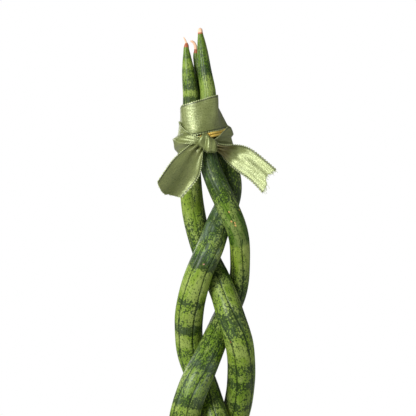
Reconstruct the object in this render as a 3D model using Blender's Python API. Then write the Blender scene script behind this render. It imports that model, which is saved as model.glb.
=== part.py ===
"""A braided cylindrical snake plant: three leaves plaited together, standing in a clay pot.

A gold cord and a satin ribbon tie the leaves together near their tips. Metres, +Z up. The
origin is the middle of the pot's underside, and the plant's front looks along -Y.
"""
import math

import bmesh
import bpy
import numpy as np
from mathutils import Vector

MM = 0.001

# Driving dimensions, in millimetres
POT_HEIGHT = 104.0
POT_RADIUS = 60.0
POT_BASE_RADIUS = 41.0
POT_WALL = 5.0
POT_COLLAR_HEIGHT = 24.0
POT_COLLAR_STEP = 4.0
POT_COLLAR_TAPER = 1.5
POT_EDGE = 1.4
DRAIN_RADIUS = 6.0

SOIL_LEVEL = 92.0
SOIL_RELIEF = 0.9
HOLE_OVERSHOOT = 10.0
LEAF_FOOT = 50.0
SEAT_GAP = 0.3

RIBBON_WIDTH = 25.0
RIBBON_THICK = 0.8
RIBBON_SLANT = 0.296
RIBBON_GAP = 0.5
COLLAR_LEVEL = 396.1
CORD_WIDTH = 2.2
CORD_PITCH = 2.3
CORD_GAP = 0.35

# The cord's winding, in degrees: where it starts, how far it goes and where it steps up a turn
CORD_START = 120
CORD_SWEEP = 660
CORD_RISE_START = 310
CORD_RISE_END = 350

# How finely each shape is divided
POT_SIDES = 48
SOIL_RINGS = (0.9, 0.75, 0.55, 0.35, 0.15)
LEAF_RIBS = 6
RIB_POINTS = 3
LEAF_RING_STEP = 7.0
FURROW_DEPTH = 0.05
RIBBON_SIDES = 44
COLLAR_ROWS = 5
CORD_SIDES = 6
CORD_STEP = 10

# Each leaf, from its tip down. A route point is height, across (+X) and depth (+Y is the back);
# a width is height and diameter; a tip point is across, depth, height and diameter.
LEAVES = {
    "leaf_left": {
        "tip": [(-23.2, -1, 454.6, 1.0), (-21.9, -1, 452.4, 1.2), (-20.9, -1, 449.8, 1.6),
                (-20.9, -1, 447.6, 3.2)],
        "route": [(446, -21, -1), (429, -19.5, -0.5), (407, -17.3, 0), (386, -17.8, 1),
                  (362, -18.3, 3), (338, -17.4, 7), (320, -15.2, 10), (302, -10.8, 12),
                  (286, -4.6, 9.5), (272, 2.2, 2.5), (258, 8, -5.5), (244, 12.6, -11),
                  (228, 17.8, -11.5), (208, 20.6, -4.5), (190, 20.3, 4), (170, 17.2, 12.5),
                  (150, 11.2, 15.5), (122, 3, 13.5), (96, -1, 12), (74, -1, 12), (50, -1, 12)],
        "width": [(446, 3.9), (437, 7.2), (429, 9.6), (407, 12.7), (386, 14.2), (362, 15.8),
                  (331, 17.2), (290, 18.4), (245, 20.8), (160, 21.4), (96, 22.6), (50, 20)],
        "turn": 20.0,
    },
    "leaf_right": {
        "tip": [(-10.9, -3, 461.2, 2.6), (-10.7, -3, 460.2, 3.8), (-10.5, -3, 458.4, 4.3)],
        "route": [(456, -10.2, -3), (442, -8.6, -4), (426, -6.6, -5), (411, -4.4, -6), (386, -6, -7.5),
                  (368, -5.8, -10), (350, -0.6, -13), (336, 5.4, -15.5), (320, 12.8, -15.5),
                  (304, 18.4, -10), (288, 19.8, 0.5), (272, 19.4, 9.5), (258, 16.2, 13),
                  (244, 9.6, 10.5), (228, 2, 3), (210, -6.3, -7), (191, -15.3, -12.6),
                  (170, -21.8, -11), (146, -24, -7), (120, -20, -6), (96, -17.5, -7),
                  (74, -17.5, -7), (50, -17.5, -7)],
        "width": [(456, 4.4), (451, 6.1), (442, 8.4), (431, 10.1), (411, 11.8), (386, 13.6),
                  (360, 15), (325, 16.6), (303, 15.4), (285, 15.2), (263, 16.2), (240, 18.4),
                  (225, 19.8), (205, 22), (170, 22.9), (96, 23.6), (50, 20)],
        "turn": 35.0,
    },
    "leaf_middle": {
        "tip": [(-18.2, 3.5, 452, 1.2), (-16.3, 3.7, 451.6, 1.8), (-14.5, 4, 449.4, 2.2),
                (-13.8, 4.3, 445, 2.8)],
        "route": [(441, -13.8, 4.5), (424, -8.7, 5), (402, -3.3, 6), (386, 3, 6), (370, 7.4, 6),
                  (356, 10.8, 6), (342, 12.6, 5.5), (328, 10, 4.4), (312, 3.2, -0.8),
                  (296, -2.6, -8.5), (281, -9.4, -12.4), (264, -15, -9.5), (246, -18.6, 0),
                  (228, -19.2, 9.8), (210, -16.4, 13.5), (190, -8, 10), (170, -0.8, 0),
                  (148, 6.6, -7), (122, 14, -8), (96, 17, -6), (74, 17, -6), (50, 17, -6)],
        "width": [(441, 4.4), (433, 6.4), (424, 8), (411, 10), (386, 13.6), (350, 16.6),
                  (304, 19.8), (260, 21.4), (232, 21.5), (205, 21.3), (168, 21.4), (96, 22.6), (50, 20)],
        "turn": 0.0,
    },
}

# The ribbon's lower turn, by the direction it faces: degrees, lowest and highest edge
LOWER_TURN = [(0, 371, 386.2), (45, 370, 386.4), (90, 367, 386), (135, 365, 388), (180, 364, 388.5),
              (212, 365.5, 386), (232, 368, 380.5), (250, 369.5, 377.5), (270, 370, 377.5),
              (290, 370.5, 377.5), (305, 371, 380), (318, 371, 384), (335, 371, 386)]
RIDGE_SLOPE = 3.5
ROW_SPACE = 0.5

# The knot: centre, half sizes, how square its outline is and how finely it is divided
KNOT_CENTRE = (-2.7, -22.2, 373.8)
KNOT_HALF = (5.4, 4.6, 7.6)
KNOT_SQUARENESS = 0.8
KNOT_SIDES = 16
KNOT_RINGS = 9
KNOT_END_LATITUDE = 84

# The two tails, as the edges of a strip from the knot to the cut end: across, depth, height
TAILS = {
    "left": {
        "upper": [(-9, -20, 373.5), (-17, -21.5, 372.4), (-23.5, -21.5, 367.1),
                  (-30.3, -20.5, 360.7), (-36.4, -18.5, 352.4), (-43.2, -16, 342.1)],
        "lower": [(-5.5, -21.5, 370), (-8.3, -23, 365.5), (-9.1, -24, 360.4),
                  (-10.1, -24.5, 353.1), (-14, -24, 344.5), (-25.8, -22, 331.1)],
        "camber": 1.2,
    },
    "right": {
        "upper": [(0.5, -20.5, 374), (8, -22, 373.2), (16, -22.8, 372.3), (26, -21.5, 369.8),
                  (35.6, -19.5, 363.7), (47.3, -18.5, 356.2)],
        "lower": [(1.5, -21, 370), (5.3, -19, 365), (10.5, -17.5, 359.2), (19.7, -20, 350.8),
                  (28, -23.5, 345.2), (36.1, -26, 336.1)],
        "camber": -1.2,
    },
}
TAIL_SECTIONS = 11
TAIL_COLUMNS = 5
TAIL_STEP = 0.01

FRONT = Vector((0.0, -1.0, 0.0))


def smooth_curve(stations):
    """The natural cubic curve through stations of a place and its values."""
    table = np.array(sorted(stations), float)
    places = table[:, 0]
    values = table[:, 1:]
    count = len(places)
    steps = np.diff(places)
    matrix = np.eye(count)
    bends = np.zeros_like(values)
    for k in range(1, count - 1):
        matrix[k, k - 1:k + 2] = steps[k - 1], 2 * (steps[k - 1] + steps[k]), steps[k]
        slopes = np.diff(values[k - 1:k + 2], axis=0) / steps[k - 1:k + 1, None]
        bends[k] = 6 * (slopes[1] - slopes[0])
    bends = np.linalg.solve(matrix, bends)

    def at(place):
        k = int(np.clip(np.searchsorted(places, place) - 1, 0, count - 2))
        step = steps[k]
        low = (places[k + 1] - place) / step
        high = (place - places[k]) / step
        line = low * values[k] + high * values[k + 1]
        curve = (low ** 3 - low) * bends[k] + (high ** 3 - high) * bends[k + 1]
        return line + curve * step ** 2 / 6

    return at


def spread(low, high, count):
    """Evenly spaced values from low to high, both included."""
    return np.linspace(low, high, count).tolist()


def blend(start, end, place):
    """How far a place is from start to end, from 0 to 1 with a soft start and finish."""
    part = min(max((place - start) / (end - start), 0.0), 1.0)
    return part * part * (3 - 2 * part)


ROUTE = {name: smooth_curve(leaf["route"]) for name, leaf in LEAVES.items()}
WIDTH = {name: smooth_curve(leaf["width"]) for name, leaf in LEAVES.items()}


def leaf_radius(name, height):
    """Radius of a leaf at a height, in its level cross-section."""
    return float(WIDTH[name](height)[0]) / 2


def remove_everything():
    for item in list(bpy.data.objects):
        bpy.data.objects.remove(item, do_unlink=True)


def material(name, color, roughness, metallic=0.0):
    made = bpy.data.materials.new(name)
    made.use_nodes = True
    shader = made.node_tree.nodes["Principled BSDF"]
    shader.inputs["Base Color"].default_value = (*color, 1.0)
    shader.inputs["Roughness"].default_value = roughness
    shader.inputs["Metallic"].default_value = metallic
    return made


def add_object(name, mesh, surface=None):
    """Put a finished bmesh, in millimetres, into the scene as an object in metres."""
    bmesh.ops.scale(mesh, vec=(MM, MM, MM), verts=mesh.verts)
    bmesh.ops.recalc_face_normals(mesh, faces=mesh.faces)
    data = bpy.data.meshes.new(name)
    mesh.to_mesh(data)
    mesh.free()
    made = bpy.data.objects.new(name, data)
    bpy.context.collection.objects.link(made)
    if surface:
        data.materials.append(surface)
    return made


def sweep(name, sections, surface=None, closed=False):
    """A solid that joins outlines of equal length, in a row or, if closed, in a loop."""
    mesh = bmesh.new()
    rings = [[mesh.verts.new(point) for point in section] for section in sections]
    pairs = list(zip(rings, rings[1:]))
    if closed:
        pairs.append((rings[-1], rings[0]))
    else:
        mesh.faces.new(rings[0])
        mesh.faces.new(rings[-1])
    for near, far in pairs:
        for k in range(len(near)):
            after = (k + 1) % len(near)
            mesh.faces.new((near[k], near[after], far[after], far[k]))
    return add_object(name, mesh, surface)


def smooth_shade(made, degrees=40.0):
    made.data.shade_smooth()
    made.data.set_sharp_from_angle(angle=math.radians(degrees))


def turned(name, profile, surface):
    """A solid of revolution about Z from a closed outline of radius and height."""
    sections = []
    for k in range(POT_SIDES):
        angle = 2 * math.pi * k / POT_SIDES
        sections.append([(r * math.cos(angle), r * math.sin(angle), z) for r, z in profile])
    return sweep(name, sections, surface, closed=True)


def flat_ring(centre, radius, height, sides):
    """The corners of a level circle."""
    turns = [2 * math.pi * k / sides for k in range(sides)]
    return [(centre[0] + radius * math.cos(a), centre[1] + radius * math.sin(a), height)
            for a in turns]


def pot_inner_radius(height):
    """Radius of the pot's inside wall at a height."""
    low = POT_BASE_RADIUS - POT_WALL
    high = POT_RADIUS - POT_WALL
    return low + (high - low) * height / POT_HEIGHT


def make_pot(surface):
    """A tapered clay pot with a thicker band round its rim and one hole to drain it."""
    collar_foot = POT_HEIGHT - POT_COLLAR_HEIGHT
    collar_radius = POT_RADIUS - POT_COLLAR_TAPER
    mouth = pot_inner_radius(POT_HEIGHT)
    profile = [
        (DRAIN_RADIUS, 0), (POT_BASE_RADIUS - POT_EDGE, 0), (POT_BASE_RADIUS, POT_EDGE),
        (collar_radius - POT_COLLAR_STEP, collar_foot), (collar_radius - POT_EDGE, collar_foot),
        (collar_radius, collar_foot + POT_EDGE), (POT_RADIUS, POT_HEIGHT - POT_EDGE),
        (POT_RADIUS - POT_EDGE, POT_HEIGHT), (mouth + POT_EDGE, POT_HEIGHT),
        (mouth, POT_HEIGHT - POT_EDGE), (pot_inner_radius(POT_WALL), POT_WALL),
        (DRAIN_RADIUS, POT_WALL),
    ]
    smooth_shade(turned("pot", profile, surface), 30.0)


def leaf_slope(name, height):
    """How far a leaf's centre moves across and back for each unit of height."""
    return ROUTE[name](height + 0.5) - ROUTE[name](height - 0.5)


def leaf_hole(name):
    """Centre and radius of the plain hole in the soil that a leaf stands in."""
    centre = ROUTE[name](SOIL_LEVEL)
    reach = 0.0
    for height in spread(LEAF_FOOT, SOIL_LEVEL + SOIL_RELIEF, 12):
        drift = float(np.linalg.norm(ROUTE[name](height) - centre))
        reach = max(reach, drift + leaf_radius(name, height))
    return centre, reach + SEAT_GAP


def soil_height(x, y):
    """The soil's gently lumpy top."""
    lumps = math.sin(0.21 * x + 0.4) * math.cos(0.17 * y - 0.3)
    lumps += 0.6 * math.sin(0.37 * y + 0.23 * x + 1.1)
    return SOIL_LEVEL + SOIL_RELIEF * lumps / 1.6


def make_soil(surface):
    """The soil that fills the pot, with a plain hole for each leaf."""
    floor = POT_WALL + SEAT_GAP
    top_radius = pot_inner_radius(SOIL_LEVEL) - SEAT_GAP
    sections = [flat_ring((0, 0), pot_inner_radius(floor) - SEAT_GAP, floor, POT_SIDES)]
    sections.append(flat_ring((0, 0), top_radius, SOIL_LEVEL, POT_SIDES))
    for share in SOIL_RINGS:
        ring = flat_ring((0, 0), share * top_radius, 0, POT_SIDES)
        sections.append([(x, y, soil_height(x, y)) for x, y, _ in ring])
    soil = sweep("soil", sections, surface)
    for name in LEAVES:
        centre, radius = leaf_hole(name)
        heights = (LEAF_FOOT - SEAT_GAP, SOIL_LEVEL + HOLE_OVERSHOOT)
        cutter = sweep("hole_for_" + name,
                       [flat_ring(centre, radius, height, POT_SIDES // 2) for height in heights])
        combine(soil, cutter, "DIFFERENCE")
    smooth_shade(soil)


def combine(target, other, operation):
    """Apply a Boolean of one object to another, and remove the one used."""
    step = target.modifiers.new(operation.lower(), "BOOLEAN")
    step.operation = operation
    step.solver = "EXACT"
    step.object = other
    graph = bpy.context.evaluated_depsgraph_get()
    result = bpy.data.meshes.new_from_object(target.evaluated_get(graph))
    target.modifiers.clear()
    target.data = result
    bpy.data.objects.remove(other, do_unlink=True)


def leaf_ring(centre, along, diameter, turn):
    """One outline of a leaf: round, with a shallow furrow between each two ribs."""
    side = along.cross(FRONT).normalized()
    front = side.cross(along).normalized()
    ring = []
    for k in range(LEAF_RIBS * RIB_POINTS):
        angle = math.radians(turn) + 2 * math.pi * k / (LEAF_RIBS * RIB_POINTS)
        radius = diameter / 2
        if k % RIB_POINTS == 0:
            radius *= 1 - FURROW_DEPTH
        ring.append(centre + radius * (math.cos(angle) * side + math.sin(angle) * front))
    return ring


def make_leaf(name, surface):
    """One leaf: a ribbed rod along its route, with the dry tip bent as the tip's points say."""
    leaf = LEAVES[name]
    places = [(Vector(point[:3]), point[3]) for point in leaf["tip"]]
    top = leaf["route"][0][0]
    steps = round((top - LEAF_FOOT) / LEAF_RING_STEP)
    for height in spread(top, LEAF_FOOT, steps + 1):
        across, depth = ROUTE[name](height)
        places.append((Vector((across, depth, height)), 2 * leaf_radius(name, height)))
    sections = []
    for k, (centre, diameter) in enumerate(places):
        before = places[max(k - 1, 0)][0]
        after = places[min(k + 1, len(places) - 1)][0]
        sections.append(leaf_ring(centre, (after - before).normalized(), diameter, leaf["turn"]))
    smooth_shade(sweep(name, sections, surface))


def leaf_edge(name, facing, height_at):
    """The point of a leaf furthest in a direction, where height_at gives height for across."""
    across = 0.0
    for _ in range(4):
        height = height_at(across)
        slope = leaf_slope(name, height)
        stretch = math.sqrt(1 + float(slope @ facing) ** 2)
        edge = ROUTE[name](height) + leaf_radius(name, height) * (
            facing + slope * float(slope @ facing)) / stretch
        across = float(edge[0])
    return edge, height


def wrapped_point(degrees, height_at, offset):
    """A point of a band drawn tight round the leaves, outside them by an offset.

    The band faces the given direction there, and height_at gives its height for a place across.
    """
    facing = np.array([math.cos(math.radians(degrees)), math.sin(math.radians(degrees))])
    edges = [leaf_edge(name, facing, height_at) for name in LEAVES]
    edge, height = max(edges, key=lambda found: float(found[0] @ facing))
    return Vector((*(edge + offset * facing), height))


def collar_height(share, across):
    """Height of the slanted upper turn, from its lower edge (0) to its upper edge (1)."""
    rise = RIBBON_WIDTH * math.sqrt(1 + RIBBON_SLANT ** 2)
    return COLLAR_LEVEL + (share - 0.5) * rise + RIBBON_SLANT * across


def cord_height(across):
    """Middle height of the two turns of cord, just under the upper turn of the ribbon."""
    return collar_height(0.0, across) - CORD_GAP - (CORD_WIDTH + CORD_PITCH) / 2


def cord_point(degrees, lift, offset):
    """A point outside the leaves by an offset, on the cord's turn lifted by some height."""
    return wrapped_point(degrees, lambda across: cord_height(across) + lift, offset)


def make_cord(surface):
    """A gold cord wound almost twice round the leaves, stepping up one pitch on its way."""
    upward = Vector((0, 0, 1))
    radius = CORD_WIDTH / 2
    sections = []
    for turned_by in range(0, CORD_SWEEP + 1, CORD_STEP):
        degrees = CORD_START + turned_by
        lift = CORD_PITCH * (blend(CORD_RISE_START, CORD_RISE_END, turned_by) - 0.5)
        centre = cord_point(degrees, lift, RIBBON_GAP + radius)
        outward = (cord_point(degrees, lift, RIBBON_GAP + CORD_WIDTH) - centre).normalized()
        ring = []
        for k in range(CORD_SIDES):
            angle = 2 * math.pi * k / CORD_SIDES
            ring.append(centre + radius * (math.cos(angle) * outward + math.sin(angle) * upward))
        sections.append(ring)
    smooth_shade(sweep("gold_tie", sections, surface), 80.0)


def make_upper_turn():
    """The ribbon's upper turn: a slanted band drawn tight round the leaves."""
    sections = []
    rows = spread(0, 1, COLLAR_ROWS)
    for k in range(RIBBON_SIDES):
        degrees = 360 * k / RIBBON_SIDES
        outline = []
        for offset, order in ((RIBBON_GAP + RIBBON_THICK, rows), (RIBBON_GAP, rows[::-1])):
            for share in order:
                outline.append(wrapped_point(degrees, lambda x: collar_height(share, x), offset))
        sections.append(outline)
    return sweep("ribbon", sections, closed=True)


def lower_turn_rows(low, high, cord):
    """Heights and offsets of the lower turn's rows: it passes over the cord in a flat ridge.

    Below the ridge it lies on the leaves, and above it on the upper turn.
    """
    over_cord = RIBBON_GAP + CORD_WIDTH + CORD_GAP
    over_ribbon = RIBBON_GAP + RIBBON_THICK / 2
    ridge = (CORD_WIDTH + CORD_PITCH) / 2 + CORD_GAP
    heights = [low, cord - ridge - RIDGE_SLOPE, cord - ridge, cord + ridge,
               cord + ridge + RIDGE_SLOPE, high]
    offsets = [RIBBON_GAP, RIBBON_GAP, over_cord, over_cord, over_ribbon, over_ribbon]
    rows = []
    for k, (height, offset) in enumerate(zip(heights, offsets)):
        lowest = low + k * ROW_SPACE
        highest = high - (len(heights) - 1 - k) * ROW_SPACE
        placed = min(max(height, lowest), highest)
        if abs(placed - cord) < ridge + ROW_SPACE:
            offset = over_cord
        rows.append((placed, offset))
    return rows


def make_lower_turn():
    """The ribbon's lower turn: gathered to the knot in front, over the cord and the upper turn."""
    last = LOWER_TURN[-1]
    first = LOWER_TURN[0]
    edges = smooth_curve(
        [(last[0] - 360, *last[1:])] + LOWER_TURN + [(first[0] + 360, *first[1:])])
    sections = []
    for k in range(RIBBON_SIDES):
        degrees = 360 * k / RIBBON_SIDES
        low, high = [float(edge) for edge in edges(degrees)]
        across = wrapped_point(degrees, lambda x: (low + high) / 2, 0.0).x
        rows = lower_turn_rows(low, high, cord_height(across))
        outline = []
        for thick, order in ((RIBBON_THICK, rows), (0.0, rows[::-1])):
            for height, offset in order:
                outline.append(wrapped_point(degrees, lambda x: height, offset + thick))
        sections.append(outline)
    return sweep("lower_turn", sections, closed=True)


def make_knot():
    """The rounded, slightly square lump of the knot."""
    def squared(value):
        return math.copysign(abs(value) ** KNOT_SQUARENESS, value)

    sections = []
    for degrees in spread(-KNOT_END_LATITUDE, KNOT_END_LATITUDE, KNOT_RINGS):
        latitude = math.radians(degrees)
        ring = []
        for k in range(KNOT_SIDES):
            angle = 2 * math.pi * k / KNOT_SIDES
            x = squared(math.cos(latitude)) * squared(math.cos(angle))
            y = squared(math.cos(latitude)) * squared(math.sin(angle))
            z = squared(math.sin(latitude))
            ring.append([c + h * v for c, h, v in zip(KNOT_CENTRE, KNOT_HALF, (x, y, z))])
        sections.append(ring)
    return sweep("knot", sections)


def make_tail(side):
    """A strip between two smooth edges, gently cambered across."""
    tail = TAILS[side]
    count = len(tail["upper"]) - 1
    upper = smooth_curve([(k / count, *point) for k, point in enumerate(tail["upper"])])
    lower = smooth_curve([(k / count, *point) for k, point in enumerate(tail["lower"])])
    sections = []
    for along in spread(0, 1, TAIL_SECTIONS):
        top = Vector(upper(along))
        bottom = Vector(lower(along))
        step = TAIL_STEP if along < 1 else -TAIL_STEP
        ahead = (Vector(upper(along + step)) - top) * math.copysign(1, step)
        normal = (bottom - top).cross(ahead).normalized()
        if normal.y > 0:
            normal = -normal
        rows = []
        for share in spread(0, 1, TAIL_COLUMNS):
            bulge = tail["camber"] * 4 * share * (1 - share)
            rows.append(top.lerp(bottom, share) + bulge * normal)
        front = [point + RIBBON_THICK / 2 * normal for point in rows]
        back = [point - RIBBON_THICK / 2 * normal for point in reversed(rows)]
        sections.append(front + back)
    return sweep("tail_" + side, sections)


def make_ribbon(surface):
    """One ribbon: two turns round the leaves, a knot in front and two tails."""
    ribbon = make_upper_turn()
    pieces = [make_lower_turn(), make_knot()] + [make_tail(side) for side in TAILS]
    for piece in pieces:
        combine(ribbon, piece, "UNION")
    ribbon.data.materials.clear()
    ribbon.data.materials.append(surface)
    smooth_shade(ribbon, 50.0)


def main():
    remove_everything()
    make_pot(material("terracotta", (0.52, 0.23, 0.12), 0.85))
    make_soil(material("potting_soil", (0.055, 0.035, 0.022), 0.95))
    green = material("leaf_green", (0.16, 0.27, 0.07), 0.42)
    for name in LEAVES:
        make_leaf(name, green.copy())
    make_cord(material("gold_cord", (0.75, 0.5, 0.1), 0.35, 0.4))
    make_ribbon(material("olive_satin", (0.28, 0.33, 0.14), 0.45))


main()
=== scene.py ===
"""The looks of a braided cylindrical snake plant in a clay pot, tied with a satin ribbon.

Lengths here are in millimetres until a mesh is made. A route point is height, across (+X) and
depth (+Y is the back), and the front looks along -Y.
"""
import math

import bpy
import numpy as np
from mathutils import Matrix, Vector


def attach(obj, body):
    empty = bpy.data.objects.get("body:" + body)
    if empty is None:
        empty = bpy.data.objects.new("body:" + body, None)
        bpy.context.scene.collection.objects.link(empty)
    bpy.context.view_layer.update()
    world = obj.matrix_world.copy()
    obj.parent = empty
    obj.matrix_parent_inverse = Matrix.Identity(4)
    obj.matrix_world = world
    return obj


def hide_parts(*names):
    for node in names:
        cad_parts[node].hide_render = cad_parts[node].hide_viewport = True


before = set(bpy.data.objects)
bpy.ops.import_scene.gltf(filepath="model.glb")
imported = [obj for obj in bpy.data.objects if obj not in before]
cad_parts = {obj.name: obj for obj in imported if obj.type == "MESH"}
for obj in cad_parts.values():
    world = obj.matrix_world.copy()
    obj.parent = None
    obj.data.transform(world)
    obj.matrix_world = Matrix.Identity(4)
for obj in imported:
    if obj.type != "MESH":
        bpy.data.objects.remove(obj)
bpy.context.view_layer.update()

MM = 0.001
SEED = 7

# Driving dimensions, the same as the solids have
POT_HEIGHT = 104.0
POT_RADIUS = 60.0
POT_BASE_RADIUS = 41.0
POT_WALL = 5.0
POT_COLLAR_HEIGHT = 24.0
POT_COLLAR_STEP = 4.0
POT_COLLAR_TAPER = 1.5
DRAIN_RADIUS = 6.0
SOIL_LEVEL = 92.0
SOIL_RELIEF = 0.9
LEAF_FOOT = 50.0
RIBBON_WIDTH = 25.0
RIBBON_SLANT = 0.296
RIBBON_GAP = 0.55
COLLAR_LEVEL = 396.1
CORD_WIDTH = 2.2
CORD_PITCH = 2.3
CORD_GAP = 0.35
CORD_CLEARANCE = 0.5

# The cord's way round the leaves, in degrees: where it starts, how far it winds and between which
# places it steps up a turn. Its level is found in rounds from a first guess. Then its strands.
CORD_START = 120.0
CORD_TURNED = 660.0
CORD_STEP_UP = (310.0, 350.0)
CORD_STEP = 0.9
CORD_LEVEL = 380.0
CORD_ROUNDS = 4
STRANDS = 3
STRAND_SIDES = 8
STRAND_PITCH = 3.8
STRAND_OFFSET = 0.6
STRAND_RADIUS = 0.52

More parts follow.
